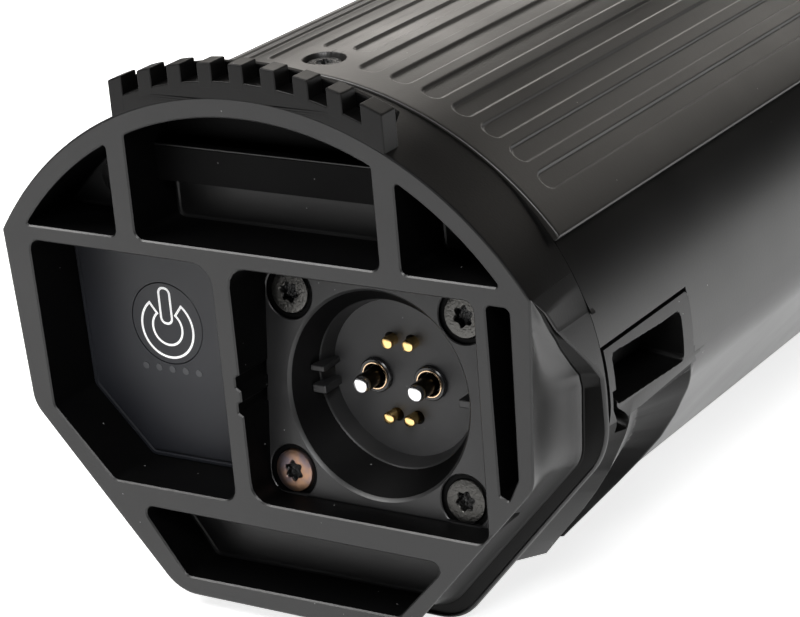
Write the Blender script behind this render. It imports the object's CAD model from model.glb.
"""Battery pack for the down tube of an electric bicycle, dressed for a close look.

Every length in the classes below is in millimetres of the maker's drawing: x runs across the pack from
its middle plane, y runs back from the front face, and z counts up from the shoulder line, where the
arched top of the front face meets its sides. in_frame() turns such points into metres of the frame.
"""
import logging
import math
from dataclasses import dataclass, field
from enum import Enum, IntEnum
from itertools import product

import bmesh
import bpy
import numpy as np
from mathutils import Matrix, Vector
from mathutils.geometry import tessellate_polygon


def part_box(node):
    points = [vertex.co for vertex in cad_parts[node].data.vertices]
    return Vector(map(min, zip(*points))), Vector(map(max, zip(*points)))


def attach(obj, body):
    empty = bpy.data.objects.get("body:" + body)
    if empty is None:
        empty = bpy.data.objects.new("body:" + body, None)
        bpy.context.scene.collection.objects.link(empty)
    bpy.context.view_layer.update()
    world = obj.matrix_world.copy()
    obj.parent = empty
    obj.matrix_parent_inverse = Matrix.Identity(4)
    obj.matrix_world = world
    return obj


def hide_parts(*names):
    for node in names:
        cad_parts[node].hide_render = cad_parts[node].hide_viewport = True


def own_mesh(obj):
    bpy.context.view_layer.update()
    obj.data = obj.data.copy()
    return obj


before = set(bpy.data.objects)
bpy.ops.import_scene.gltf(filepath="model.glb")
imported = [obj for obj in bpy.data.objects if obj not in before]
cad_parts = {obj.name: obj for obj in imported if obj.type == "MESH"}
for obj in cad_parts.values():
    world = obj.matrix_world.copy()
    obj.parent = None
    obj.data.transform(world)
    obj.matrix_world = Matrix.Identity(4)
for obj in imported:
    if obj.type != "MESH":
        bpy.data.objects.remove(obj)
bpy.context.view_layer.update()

LOG = logging.getLogger("pack")

METRE_PER_MM = 0.001
SHOULDER_HEIGHT = 57.2
FRONT_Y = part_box("end_cap")[0][1] / METRE_PER_MM
REAR_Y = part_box("rear_cap")[1][1] / METRE_PER_MM
PACK_LENGTH = REAR_Y - FRONT_Y
SHARP_ANGLE = 32.0
WELD_DISTANCE = 2e-6
BORE_COUNT = 96
SHOULDER_MARGIN = 0.01
PATCHES_PER_METRE = 55.0
SPECKS_PER_METRE = 420.0
SPECK_RADIUS = 0.045
BLOOMS_PER_METRE = 420.0

# Section of the pack: the arch of its top, the rounding of its flanks and its greatest half width
ARCH_DROP = 30.4
ARCH_RADIUS = 54.3
FLANK_CENTRE = (7.7, -18.9)
FLANK_RADIUS = 40.5
HALF_WIDTH = 48.2


class Body(Enum):
    """Bodies of the mechanism that pieces ride on."""

    PACK = "pack"
    BUTTON = "button"


def in_frame(points: np.ndarray) -> np.ndarray:
    """Move points from the drawing into the frame.

    Args:
        points: Array of x, y and z in millimetres of the drawing.

    Returns:
        The same points in metres of the frame.
    """
    return (points + np.array([0.0, FRONT_Y, SHOULDER_HEIGHT])) * METRE_PER_MM


# Outlines in the plane of x and z


def arc(centre: tuple[float, float], radius: float, start: float, stop: float, count: int) -> np.ndarray:
    """Points along an arc: the centre plus the radius times cosine and sine of an even row of angles.

    Args:
        centre: Centre of the arc.
        radius: Radius of the arc.
        start: First angle in degrees from the x axis.
        stop: Last angle in degrees.
        count: Number of points.

    Returns:
        Array of count points.
    """
    turn = np.radians(np.linspace(start, stop, count))
    return np.array(centre) + radius * np.stack([np.cos(turn), np.sin(turn)], axis=1)


def circle(centre: tuple[float, float], radius: float, count: int = BORE_COUNT) -> np.ndarray:
    """Points round a whole circle, with no point given twice."""
    return arc(centre, radius, 0.0, 360.0 - 360.0 / count, count)


def rounded(corners: np.ndarray, radii: np.ndarray, steps: int = 5) -> np.ndarray:
    """Closed outline with each corner replaced by an arc that touches both of its edges.

    The arc's centre lies on the bisector, at the radius over the sine of half the corner's angle.

    Args:
        corners: Corners in order round the outline.
        radii: Radius for each corner, where 0 keeps the corner as it is.
        steps: Points on each arc.

    Returns:
        Points of the outline.
    """
    points = []
    for index, corner in enumerate(corners):
        if radii[index] <= 0.0:
            points.append(corner[None])
            continue
        back = corners[index - 1] - corner
        ahead = corners[(index + 1) % len(corners)] - corner
        back = back / np.linalg.norm(back)
        ahead = ahead / np.linalg.norm(ahead)
        half = math.acos(float(np.clip(back @ ahead, -1.0, 1.0))) / 2.0
        middle = (back + ahead) / np.linalg.norm(back + ahead)
        centre = corner + middle * radii[index] / math.sin(half)
        sweep = np.linspace(-(math.pi / 2.0 - half), math.pi / 2.0 - half, steps)
        side = (back - ahead) / np.linalg.norm(back - ahead)
        reach = radii[index]
        points.append(centre - reach * (np.cos(sweep)[:, None] * middle + np.sin(sweep)[:, None] * side))
        if np.linalg.norm(points[-1][0] - corner - back * reach / math.tan(half)) > reach:
            points[-1] = points[-1][::-1]
    return np.concatenate(points)


def grown(loop: np.ndarray, distance: float) -> np.ndarray:
    """Outline moved outwards by an even distance along the mean normal of the edges at each point.

    Args:
        loop: Points of a closed outline.
        distance: Distance, negative to draw the outline in.

    Returns:
        Moved points, one for each point of the outline.
    """
    edge = np.roll(loop, -1, axis=0) - loop
    edge /= np.maximum(np.linalg.norm(edge, axis=1, keepdims=True), 1e-9)
    before = np.roll(edge, 1, axis=0)
    area = np.sum(loop[:, 0] * np.roll(loop[:, 1], -1) - np.roll(loop[:, 0], -1) * loop[:, 1])
    sign = 1.0 if area > 0.0 else -1.0
    normal = np.stack([edge[:, 1] + before[:, 1], -edge[:, 0] - before[:, 0]], axis=1) * sign
    normal /= np.maximum(np.linalg.norm(normal, axis=1, keepdims=True), 1e-9)
    outward = np.stack([edge[:, 1], -edge[:, 0]], axis=1) * sign
    stretch = np.maximum(np.sum(normal * outward, axis=1, keepdims=True), 0.5)
    return loop + normal * distance / stretch


def at_depth(loop: np.ndarray, depth: float | np.ndarray) -> np.ndarray:
    """Outline of x and z set at one depth, or at a depth for each point."""
    return np.stack([loop[:, 0], np.broadcast_to(depth, len(loop)), loop[:, 1]], axis=1)


def eased(value: np.ndarray) -> np.ndarray:
    """Smooth step from 0 to 1 while the value runs from 0 to 1."""
    share = np.clip(value, 0.0, 1.0)
    return share * share * (3.0 - 2.0 * share)


def star(turn: np.ndarray, mean: float, wave: float) -> np.ndarray:
    """Radius of a six-lobed screw recess at each angle: a mean plus a wave of six crests."""
    return mean + wave * np.cos(6.0 * turn)


SCREW_TURN = np.radians(np.arange(0.0, 360.0, 360.0 / BORE_COUNT))


def in_scene(name: str, data: bpy.types.ID) -> bpy.types.Object:
    """Make an object of the data and link it to the scene."""
    made = bpy.data.objects.new(name, data)
    bpy.context.scene.collection.objects.link(made)
    return made


class Shell:
    """Surface of one piece, gathered from grids and flat faces in millimetres of the drawing."""

    def __init__(self, name: str) -> None:
        """Start an empty surface with the name of its piece."""
        self.name = name
        self.points: list[np.ndarray] = []
        self.faces: list[tuple[int, ...]] = []
        self.finish_of_face: list[int] = []
        self.smooth_of_face: list[bool] = []
        self.count = 0

    def add(self, points: np.ndarray, faces: list, finish: int | np.ndarray = 0, smooth: bool = True) -> None:
        """Add points and the faces between them.

        Args:
            points: Array of points.
            faces: Tuples of indices into these points.
            finish: Place of the faces' finish in the list given to finished(), or a place for each face.
            smooth: Whether the faces are shaded as one round surface.
        """
        self.points.append(points.reshape(-1, 3))
        self.faces += [tuple(i + self.count for i in face) for face in faces]
        self.finish_of_face += np.broadcast_to(finish, len(faces)).tolist()
        self.smooth_of_face += [smooth] * len(faces)
        self.count += len(self.points[-1])

    def grid(self, rows: np.ndarray, closed: bool = False, finish: int | np.ndarray = 0) -> None:
        """Add a sheet of four-sided faces over an array of rows and columns of points.

        Args:
            rows: Array of shape rows, columns, 3.
            closed: Whether the last column joins the first.
            finish: Place of the finish, or a place for each face, row by row.
        """
        high, wide = rows.shape[:2]
        index = np.arange(high * wide).reshape(high, wide)
        after = np.roll(index, -1, axis=1)
        if not closed:
            index, after = index[:, :-1], after[:, :-1]
        quads = np.stack([index[:-1], after[:-1], after[1:], index[1:]], axis=-1).reshape(-1, 4)
        self.add(rows, quads.tolist(), finish)

    def tube(self, rings: list[np.ndarray], finish: int = 0) -> None:
        """Add a closed wall that runs through rings of matching points."""
        self.grid(np.stack(rings), closed=True, finish=finish)

    def flat(self, loops: list[np.ndarray], finish: int = 0) -> None:
        """Add a flat face with holes: the first loop is its edge and the others are its holes.

        Args:
            loops: Closed loops of points in space.
            finish: Place of the finish.
        """
        triangles = tessellate_polygon([[Vector(p) for p in loop] for loop in loops])
        self.add(np.concatenate(loops), [tuple(t) for t in triangles], finish, smooth=False)

    def block(self, low: tuple, high: tuple, finish: int = 0) -> None:
        """Add a closed box between its lowest and highest corner."""
        corners = np.array(list(product(*zip(low, high))))
        faces = [(0, 1, 3, 2), (4, 6, 7, 5), (0, 4, 5, 1), (2, 3, 7, 6), (0, 2, 6, 4), (1, 5, 7, 3)]
        self.add(corners, faces, finish, smooth=False)

    def bar(self, loop: np.ndarray, front: float, back: float, finish: int = 0) -> None:
        """Add a closed bar of one outline between two depths."""
        rings = np.stack([at_depth(loop, front), at_depth(loop, back)])
        self.grid(rings, closed=True, finish=finish)
        self.flat([rings[0]], finish)
        self.flat([rings[1]], finish)

    def finished(self, finishes: list, body: Body = Body.PACK, stands_for: tuple[str, ...] = (),
                 bevel: float = 0.0, mend: bool = True) -> bpy.types.Object:
        """Make the Blender object.

        Args:
            finishes: Finishes in the order that the faces name them.
            body: Body that the piece rides on.
            stands_for: CAD nodes that the piece replaces.
            bevel: Width of the rounded edges in millimetres, 0 for none.
            mend: Whether the faces are turned outwards.

        Returns:
            The new object.
        """
        mesh = bpy.data.meshes.new(self.name)
        mesh.from_pydata(in_frame(np.concatenate(self.points)), [], self.faces)
        mesh.polygons.foreach_set("material_index", np.array(self.finish_of_face, dtype=np.int32))
        mesh.polygons.foreach_set("use_smooth", np.array(self.smooth_of_face, dtype=bool))
        work = bmesh.new()
        work.from_mesh(mesh)
        bmesh.ops.remove_doubles(work, verts=work.verts, dist=WELD_DISTANCE)
        bmesh.ops.dissolve_degenerate(work, edges=work.edges, dist=WELD_DISTANCE)
        if mend:
            bmesh.ops.recalc_face_normals(work, faces=work.faces)
        work.to_mesh(mesh)
        work.free()
        smooth = np.empty(len(mesh.polygons), dtype=bool)
        mesh.polygons.foreach_get("use_smooth", smooth)
        mesh.set_sharp_from_angle(angle=math.radians(SHARP_ANGLE))
        mesh.polygons.foreach_set("use_smooth", smooth)
        for finish in finishes:
            mesh.materials.append(finish.material())
        piece = in_scene(self.name, mesh)
        if bevel > 0.0:
            soften(piece, bevel, clamp=False)
        if stands_for:
            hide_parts(*stands_for)
        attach(piece, body.value)
        LOG.info("%s: %d faces on %s", self.name, len(mesh.polygons), body.value)
        return piece


def soften(piece: bpy.types.Object, width: float, angle: float = SHARP_ANGLE, clamp: bool = True) -> None:
    """Round the sharp edges of a piece.

    Args:
        piece: Object to finish.
        width: Width of the rounding in millimetres.
        angle: Least angle in degrees between two faces that get a rounded edge.
        clamp: Whether short edges limit the rounding.
    """
    bevel = piece.modifiers.new("rounded edges", "BEVEL")
    bevel.width = width * METRE_PER_MM
    bevel.segments = 2
    bevel.limit_method = "ANGLE"
    bevel.angle_limit = math.radians(angle)
    bevel.harden_normals = True
    bevel.use_clamp_overlap = clamp


# Finishes


def socket(tree: bpy.types.NodeTree, kind: str, name: str, value: object = None, out: bool = False) -> None:
    """Add a named socket with its value to a node group."""
    flow = "OUTPUT" if out else "INPUT"
    made = tree.interface.new_socket(name, in_out=flow, socket_type=f"NodeSocket{kind}")
    if value is not None:
        made.default_value = value


def give(node: bpy.types.Node, values: dict) -> None:
    """Set input sockets of a node by their names or places."""
    for name, value in values.items():
        node.inputs[name].default_value = value


def add_node(tree: bpy.types.NodeTree, kind: str, values: dict | None = None,
             **settings: object) -> bpy.types.Node:
    """Add a node.

    Args:
        tree: Tree that takes it.
        kind: Name of its type.
        values: Values of its input sockets, by name or place.
        settings: Values of its own settings, which are set first.

    Returns:
        The new node.
    """
    made = tree.nodes.new(kind)
    for name, value in settings.items():
        setattr(made, name, value)
    give(made, values or {})
    return made


def wire(tree: bpy.types.NodeTree, *links: tuple) -> None:
    """Link nodes: each entry is a node, its output, the next node and its input."""
    for source, output, target, entry in links:
        tree.links.new(source.outputs[output], target.inputs[entry])


def painted(name: str) -> tuple[bpy.types.Material, bpy.types.Node]:
    """Make a material and return it with its shader."""
    made = bpy.data.materials.new(name)
    made.use_nodes = True
    return made, made.node_tree.nodes["Principled BSDF"]


def smoothing_group() -> bpy.types.NodeTree:
    """Geometry node group that joins loose triangles and shades their round faces smooth."""
    name = "joined and smooth"
    if name in bpy.data.node_groups:
        return bpy.data.node_groups[name]
    group = bpy.data.node_groups.new(name, "GeometryNodeTree")
    socket(group, "Geometry", "Geometry")
    socket(group, "Geometry", "Geometry", out=True)
    source, target = add_node(group, "NodeGroupInput"), add_node(group, "NodeGroupOutput")
    merge = add_node(group, "GeometryNodeMergeByDistance", {"Distance": WELD_DISTANCE})
    remove = add_node(group, "GeometryNodeRemoveAttribute", {"Name": "custom_normal"})
    faces = add_node(group, "GeometryNodeSetShadeSmooth")
    edges = add_node(group, "GeometryNodeSetShadeSmooth", domain="EDGE")
    angle = add_node(group, "GeometryNodeInputMeshEdgeAngle")
    compare = add_node(group, "FunctionNodeCompare", {"B": math.radians(SHARP_ANGLE)},
                       data_type="FLOAT", operation="LESS_THAN")
    wire(group, (source, 0, merge, "Geometry"), (merge, 0, remove, "Geometry"),
         (remove, 0, faces, "Geometry"), (faces, 0, edges, "Geometry"), (edges, 0, target, 0),
         (angle, "Unsigned Angle", compare, "A"), (compare, "Result", edges, "Shade Smooth"))
    return group


def moulded_skin() -> bpy.types.NodeTree:
    """Shader node group of a moulded skin: fine grain, patches of gloss, and fine specks of dust."""
    name = "moulded skin"
    if name in bpy.data.node_groups:
        return bpy.data.node_groups[name]
    group = bpy.data.node_groups.new(name, "ShaderNodeTree")
    for kind, title, value in (
            ("Color", "Colour", (0.02, 0.02, 0.02, 1.0)), ("Color", "Dust Colour", (0.3, 0.3, 0.3, 1.0)),
            ("Float", "Roughness", 0.4), ("Float", "Gloss Patches", 0.06),
            ("Float", "Grain Per Metre", 2600.0), ("Float", "Grain Depth", 0.00001),
            ("Float", "Dust Share", 0.3)):
        socket(group, kind, title, value)
    for kind, title in (("Color", "Colour"), ("Float", "Roughness"), ("Vector", "Normal")):
        socket(group, kind, title, out=True)
    given, result = add_node(group, "NodeGroupInput"), add_node(group, "NodeGroupOutput")
    place = add_node(group, "ShaderNodeTexCoord")
    grain = add_node(group, "ShaderNodeTexNoise", {"Detail": 3.0})
    bump = add_node(group, "ShaderNodeBump", {"Strength": 1.0})
    patches = add_node(group, "ShaderNodeTexNoise", {"Scale": PATCHES_PER_METRE, "Detail": 4.0})
    spread = add_node(group, "ShaderNodeMapRange", {"From Min": 0.3, "From Max": 0.7, "To Min": -1.0})
    gloss = add_node(group, "ShaderNodeMath", operation="MULTIPLY_ADD")
    cells = add_node(group, "ShaderNodeTexVoronoi", {"Scale": SPECKS_PER_METRE})
    near = add_node(group, "ShaderNodeMath", {1: SPECK_RADIUS}, operation="LESS_THAN")
    chance = add_node(group, "ShaderNodeSeparateColor")
    chosen = add_node(group, "ShaderNodeMath", operation="LESS_THAN")
    dust = add_node(group, "ShaderNodeMath", operation="MULTIPLY")
    colour = add_node(group, "ShaderNodeMix", data_type="RGBA")
    wire(group, (place, "Object", grain, "Vector"), (place, "Object", patches, "Vector"),
         (place, "Object", cells, "Vector"), (given, "Grain Per Metre", grain, "Scale"),
         (grain, "Fac", bump, "Height"), (given, "Grain Depth", bump, "Distance"),
         (patches, "Fac", spread, "Value"), (spread, "Result", gloss, 0), (given, "Gloss Patches", gloss, 1),
         (given, "Roughness", gloss, 2), (cells, "Distance", near, 0), (cells, "Color", chance, "Color"),
         (chance, "Red", chosen, 0), (given, "Dust Share", chosen, 1),
         (near, 0, dust, 0), (chosen, 0, dust, 1),
         (dust, 0, colour, "Factor"), (given, "Colour", colour, "A"), (given, "Dust Colour", colour, "B"),
         (colour, "Result", result, "Colour"), (gloss, 0, result, "Roughness"),
         (bump, "Normal", result, "Normal"))
    return group


@dataclass(frozen=True)
class Finish:
    """Finish of a moulded, turned or printed surface.

    Attributes:
        name: Name of the material.
        colour: Linear colour.
        roughness: Mean roughness.
        metal: Whether the surface is bare metal.
        specular: Level of the mirror share of plastics.
        coat: Weight of a clear coat.
        coat_roughness: Roughness of the clear coat.
        patches: Swing of the roughness from place to place.
        grain_per_metre: Grains in a metre.
        grain_depth: Depth of the grain in millimetres.
        dust: Share of the places that carry a speck of dust.
        glow: Strength of a lit print.
    """

    name: str
    colour: tuple[float, float, float]
    roughness: float
    metal: bool = False
    specular: float = 0.5
    coat: float = 0.0
    coat_roughness: float = 0.2
    patches: float = 0.05
    grain_per_metre: float = 2600.0
    grain_depth: float = 0.012
    dust: float = 0.0
    glow: float = 0.0

    def material(self) -> bpy.types.Material:
        """Build the material once and return it."""
        if self.name in bpy.data.materials:
            return bpy.data.materials[self.name]
        made, shader = painted(self.name)
        give(shader, {"Metallic": 1.0 if self.metal else 0.0, "Specular IOR Level": self.specular,
                      "Coat Weight": self.coat, "Coat Roughness": self.coat_roughness,
                      "Emission Color": (*self.colour, 1.0), "Emission Strength": self.glow})
        pale = tuple(min(1.0, 0.16 + 2.0 * c) for c in self.colour)
        skin = add_node(made.node_tree, "ShaderNodeGroup", {
            "Colour": (*self.colour, 1.0), "Dust Colour": (*pale, 1.0), "Roughness": self.roughness,
            "Gloss Patches": self.patches, "Grain Per Metre": self.grain_per_metre,
            "Grain Depth": self.grain_depth * METRE_PER_MM, "Dust Share": self.dust,
        }, node_tree=moulded_skin())
        wire(made.node_tree, (skin, "Colour", shader, "Base Color"), (skin, "Roughness", shader, "Roughness"),
             (skin, "Normal", shader, "Normal"))
        return made


@dataclass(frozen=True)
class HeatTint:
    """Steel with the copper and violet bloom of heat.

    Attributes:
        name: Name of the material.
        warm: Colour of the copper patches.
        cool: Colour of the violet patches.
        roughness: Roughness of the steel.
        spread: Levels of the bloom where the cool patches end and the warm ones begin.
    """

    name: str
    warm: tuple[float, float, float]
    cool: tuple[float, float, float]
    roughness: float
    spread: tuple[float, float] = (0.38, 0.62)

    def material(self) -> bpy.types.Material:
        """Build the material once and return it."""
        if self.name in bpy.data.materials:
            return bpy.data.materials[self.name]
        made, shader = painted(self.name)
        give(shader, {"Metallic": 1.0, "Roughness": self.roughness})
        tree = made.node_tree
        place = add_node(tree, "ShaderNodeTexCoord")
        bloom = add_node(tree, "ShaderNodeTexNoise", {"Scale": BLOOMS_PER_METRE, "Detail": 2.0})
        ramp = add_node(tree, "ShaderNodeValToRGB")
        for element, position, colour in zip(ramp.color_ramp.elements, self.spread, (self.cool, self.warm)):
            element.position = position
            element.color = (*colour, 1.0)
        wire(tree, (place, "Object", bloom, "Vector"), (bloom, "Fac", ramp, "Fac"),
             (ramp, "Color", shader, "Base Color"))
        return made


CAP_PLASTIC = Finish("cap plastic", (0.0045, 0.0045, 0.0047), 0.4, specular=0.46, patches=0.04, dust=0.2)
POCKET_PLASTIC = Finish("pocket plastic", (0.0009, 0.0009, 0.001), 0.5, specular=0.06, dust=0.3)
COVE_PLASTIC = Finish("cove plastic", (0.005, 0.005, 0.005), 0.36, specular=0.7, coat=0.35,
                      coat_roughness=0.3, dust=0.2)
COLLAR_PLASTIC = Finish("collar plastic", (0.0025, 0.0024, 0.0023), 0.38, specular=0.14, patches=0.04,
                        dust=0.2)
SHELL_PLASTIC = Finish("shell plastic", (0.0022, 0.0021, 0.002), 0.34, specular=0.46, coat=0.2,
                       coat_roughness=0.3, patches=0.03, grain_depth=0.008, dust=0.12)
COVER_PLASTIC = Finish("cover plastic", (0.0085, 0.0078, 0.007), 0.4, specular=0.75, patches=0.04,
                       dust=0.15)
GRIP_PLASTIC = Finish("grip plastic", (0.0025, 0.0025, 0.0025), 0.34, specular=0.42, grain_depth=0.008,
                      dust=0.2)
SHADED_GRIP = Finish("shaded grip plastic", (0.001, 0.001, 0.001), 0.4, specular=0.06, dust=0.2)
EDGE_PLASTIC = Finish("polished edge plastic", (0.16, 0.16, 0.16), 0.25, specular=1.0, coat=1.0)
COMB_PLASTIC = Finish("rim plastic", (0.0028, 0.0027, 0.0026), 0.42, specular=0.2, dust=0.3)
SOCKET_PLASTIC = Finish("socket plastic", (0.012, 0.012, 0.0125), 0.42, dust=0.5)
CARRIER_PLASTIC = Finish("carrier plastic", (0.019, 0.019, 0.02), 0.5, dust=0.5)
PANEL_FILM = Finish("panel film", (0.0085, 0.0095, 0.0135), 0.5, grain_depth=0.004, dust=0.1)
LENS_PLASTIC = Finish("lens plastic", (0.045, 0.047, 0.052), 0.4)
SIGN_PRINT = Finish("sign print", (0.82, 0.82, 0.82), 0.5, grain_depth=0.002, glow=0.5)
DARK_STEEL = Finish("dark steel", (0.095, 0.093, 0.088), 0.42, metal=True, grain_depth=0.16, dust=0.3)
DRIVE_STEEL = Finish("drive steel", (0.06, 0.06, 0.06), 0.3, metal=True, grain_depth=0.4, dust=0.3)
TINTED_STEEL = HeatTint("tinted steel", (0.42, 0.25, 0.16), (0.22, 0.18, 0.2), 0.42)
PIN_STEEL = Finish("pin steel", (0.8, 0.8, 0.81), 0.2, metal=True, grain_depth=0.004)
PIN_COLLAR = Finish("pin collar", (0.012, 0.012, 0.013), 0.25)
PIN_SHAFT = Finish("pin shaft", (0.03, 0.024, 0.015), 0.3, metal=True)
GOLD = Finish("gold", (0.95, 0.66, 0.27), 0.24, metal=True, grain_depth=0.004)
SLEEVE_BRASS = Finish("sleeve brass", (0.75, 0.55, 0.36), 0.25, metal=True)
BUSH_BRASS = Finish("bush brass", (0.55, 0.38, 0.18), 0.32, metal=True)
SEAL_RUBBER = Finish("seal rubber", (0.008, 0.008, 0.008), 0.75)
DOME_RUBBER = Finish("dome rubber", (0.45, 0.45, 0.43), 0.7)
VENT_PLASTIC = Finish("vent plastic", (0.012, 0.012, 0.012), 0.6, grain_per_metre=900.0)
BOARD_GREEN = Finish("board green", (0.012, 0.06, 0.03), 0.35, coat=0.4)
CHIP_BLACK = Finish("chip black", (0.015, 0.015, 0.015), 0.5)
SPREADER_ALU = Finish("spreader aluminium", (0.62, 0.63, 0.65), 0.32, metal=True)
PLAIN_STEEL = Finish("plain steel", (0.4, 0.41, 0.42), 0.3, metal=True)
FUSE_PLASTIC = Finish("fuse plastic", (0.5, 0.33, 0.03), 0.4)
TRAY_PLASTIC = Finish("tray plastic", (0.42, 0.12, 0.03), 0.5)
CELL_WRAP = Finish("cell wrap", (0.03, 0.16, 0.08), 0.3, coat=0.2)
NICKEL = Finish("nickel", (0.6, 0.6, 0.57), 0.28, metal=True)
RED_LEAD = Finish("red lead", (0.3, 0.02, 0.02), 0.5)
RIBBON = Finish("ribbon", (0.65, 0.62, 0.5), 0.5)
PAD_FOAM = Finish("pad foam", (0.25, 0.27, 0.3), 0.9, grain_per_metre=1200.0, grain_depth=0.05)


def dress(node: str, finish: Finish, bevel: float = 0.0) -> None:
    """Give a CAD node its finish, and join and smooth its triangles by modifiers.

    Args:
        node: Name of the CAD node.
        finish: Finish of all of its material slots.
        bevel: Width of rounded edges in millimetres, 0 for none.
    """
    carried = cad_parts[node]
    for piece in carried if isinstance(carried, (list, tuple)) else [carried]:
        made = finish.material()
        if not piece.data.materials:
            piece.data.materials.append(made)
        for index in range(len(piece.material_slots)):
            piece.material_slots[index].material = made
        smooth = piece.modifiers.new("joined and smooth", "NODES")
        smooth.node_group = smoothing_group()
        if bevel > 0.0:
            soften(piece, bevel)
    LOG.info("%s dressed in %s", node, finish.name)


# Studio


@dataclass
class Studio:
    """Camera, lamps, world and floor."""

    eye: tuple[float, float, float] = (0.232214, -0.536803, 0.190490)
    ahead: tuple[float, float, float] = (-0.526106, 0.776550, -0.346674)
    upward: tuple[float, float, float] = (-0.119531, 0.336080, 0.934218)
    lens: float = 131.285
    sensor: float = 36.0
    floor_size: float = 12.0
    floor_shade: float = 0.8
    floor_glow: float = 0.8
    sky_low: float = 1.0
    sky_high: float = 0.03
    sky_lean: float = 0.25
    ambient: float = 0.45
    horizon: tuple[float, float] = (-0.3, 0.02)
    target: tuple[float, float, float] = (0.0, -0.18, 0.06)
    boxes: tuple = (
        ("ceiling box", (-0.65, -0.6, 1.15), (0.6, 0.6), 18.0, (1.0, 0.99, 0.98)),
        ("back box", (-0.62, 0.95, 0.6), (0.6, 0.4), 3.0, (1.0, 0.95, 0.89)),
        ("far back box", (0.1, 1.05, 0.5), (0.5, 0.2), 1.6, (1.0, 0.95, 0.89)),
        ("front box", (0.56, -1.0, 0.98), (0.45, 0.45), 11.0, (1.0, 1.0, 1.0)),
    )

    def camera(self) -> None:
        """Place the camera by its eye point, its line of sight and its upward direction."""
        data = bpy.data.cameras.new("camera")
        data.lens = self.lens
        data.sensor_width = self.sensor
        data.sensor_fit = "HORIZONTAL"
        data.clip_start = 0.01
        view = in_scene("camera", data)
        back = -Vector(self.ahead).normalized()
        right = Vector(self.upward).cross(back).normalized()
        up = back.cross(right)
        turn = Matrix((right, up, back)).transposed()
        view.matrix_world = Matrix.Translation(self.eye) @ turn.to_4x4()
        bpy.context.scene.camera = view

    def lamp(self, name: str, place: tuple, size: tuple, power: float, tint: tuple) -> None:
        """Add a soft box that faces the studio's target.

        Args:
            name: Name of the lamp.
            place: Where it stands, in metres.
            size: Width and height in metres.
            power: Power in watts.
            tint: Colour of its light.
        """
        data = bpy.data.lights.new(name, "AREA")
        data.shape = "RECTANGLE"
        data.size, data.size_y = size
        data.energy = power
        data.color = tint
        aim = Vector(self.target) - Vector(place)
        turn = aim.to_track_quat("-Z", "Y").to_matrix().to_4x4()
        in_scene(name, data).matrix_world = Matrix.Translation(place) @ turn

    def world(self) -> None:
        """White behind the object, and a white table and darker ceiling in its gloss."""
        world = bpy.data.worlds.new("studio")
        bpy.context.scene.world = world
        world.use_nodes = True
        tree = world.node_tree
        path, place = add_node(tree, "ShaderNodeLightPath"), add_node(tree, "ShaderNodeTexCoord")
        lean = add_node(tree, "ShaderNodeVectorMath", {1: (self.sky_lean, 0.0, 1.0)}, operation="DOT_PRODUCT")
        height = add_node(tree, "ShaderNodeMapRange", {
            "From Min": self.horizon[0], "From Max": self.horizon[1],
            "To Min": self.sky_low, "To Max": self.sky_high,
        }, interpolation_type="SMOOTHSTEP")
        glossy = add_node(tree, "ShaderNodeMix", {"A": self.ambient})
        seen = add_node(tree, "ShaderNodeMix", {"B": 1.0})
        clear = add_node(tree, "ShaderNodeMath", operation="MAXIMUM")
        wire(tree, (place, "Generated", lean, 0), (lean, "Value", height, "Value"),
             (path, "Is Glossy Ray", glossy, "Factor"), (height, "Result", glossy, "B"),
             (path, "Is Camera Ray", clear, 0), (path, "Is Transmission Ray", clear, 1),
             (clear, 0, seen, "Factor"), (glossy, "Result", seen, "A"),
             (seen, "Result", tree.nodes["Background"], "Strength"))

    def floor(self) -> None:
        """Plain pale floor that keeps the object's shadow."""
        half = self.floor_size / 2.0
        mesh = bpy.data.meshes.new("floor")
        corners = [(-half, -half, 0), (half, -half, 0), (half, half, 0), (-half, half, 0)]
        mesh.from_pydata(corners, [], [(0, 1, 2, 3)])
        paint, shader = painted("floor")
        tree = paint.node_tree
        give(shader, {"Base Color": (self.floor_shade, self.floor_shade, self.floor_shade, 1.0),
                      "Roughness": 0.9, "Specular IOR Level": 0.0, "Emission Color": (1.0, 1.0, 1.0, 1.0)})
        path = add_node(tree, "ShaderNodeLightPath")
        seen = add_node(tree, "ShaderNodeMath", operation="MAXIMUM")
        level = add_node(tree, "ShaderNodeMath", {1: self.floor_glow}, operation="MULTIPLY")
        wire(tree, (path, "Is Camera Ray", seen, 0), (path, "Is Glossy Ray", seen, 1), (seen, 0, level, 0),
             (level, 0, shader, "Emission Strength"))
        mesh.materials.append(paint)
        ground = in_scene("floor", mesh)

    def build(self) -> None:
        """Set up the whole studio."""
        self.camera()
        self.world()
        self.floor()
        for box in self.boxes:
            self.lamp(*box)
        bpy.context.scene.view_settings.view_transform = "Standard"
        LOG.info("studio is set up")


# End cap


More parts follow.
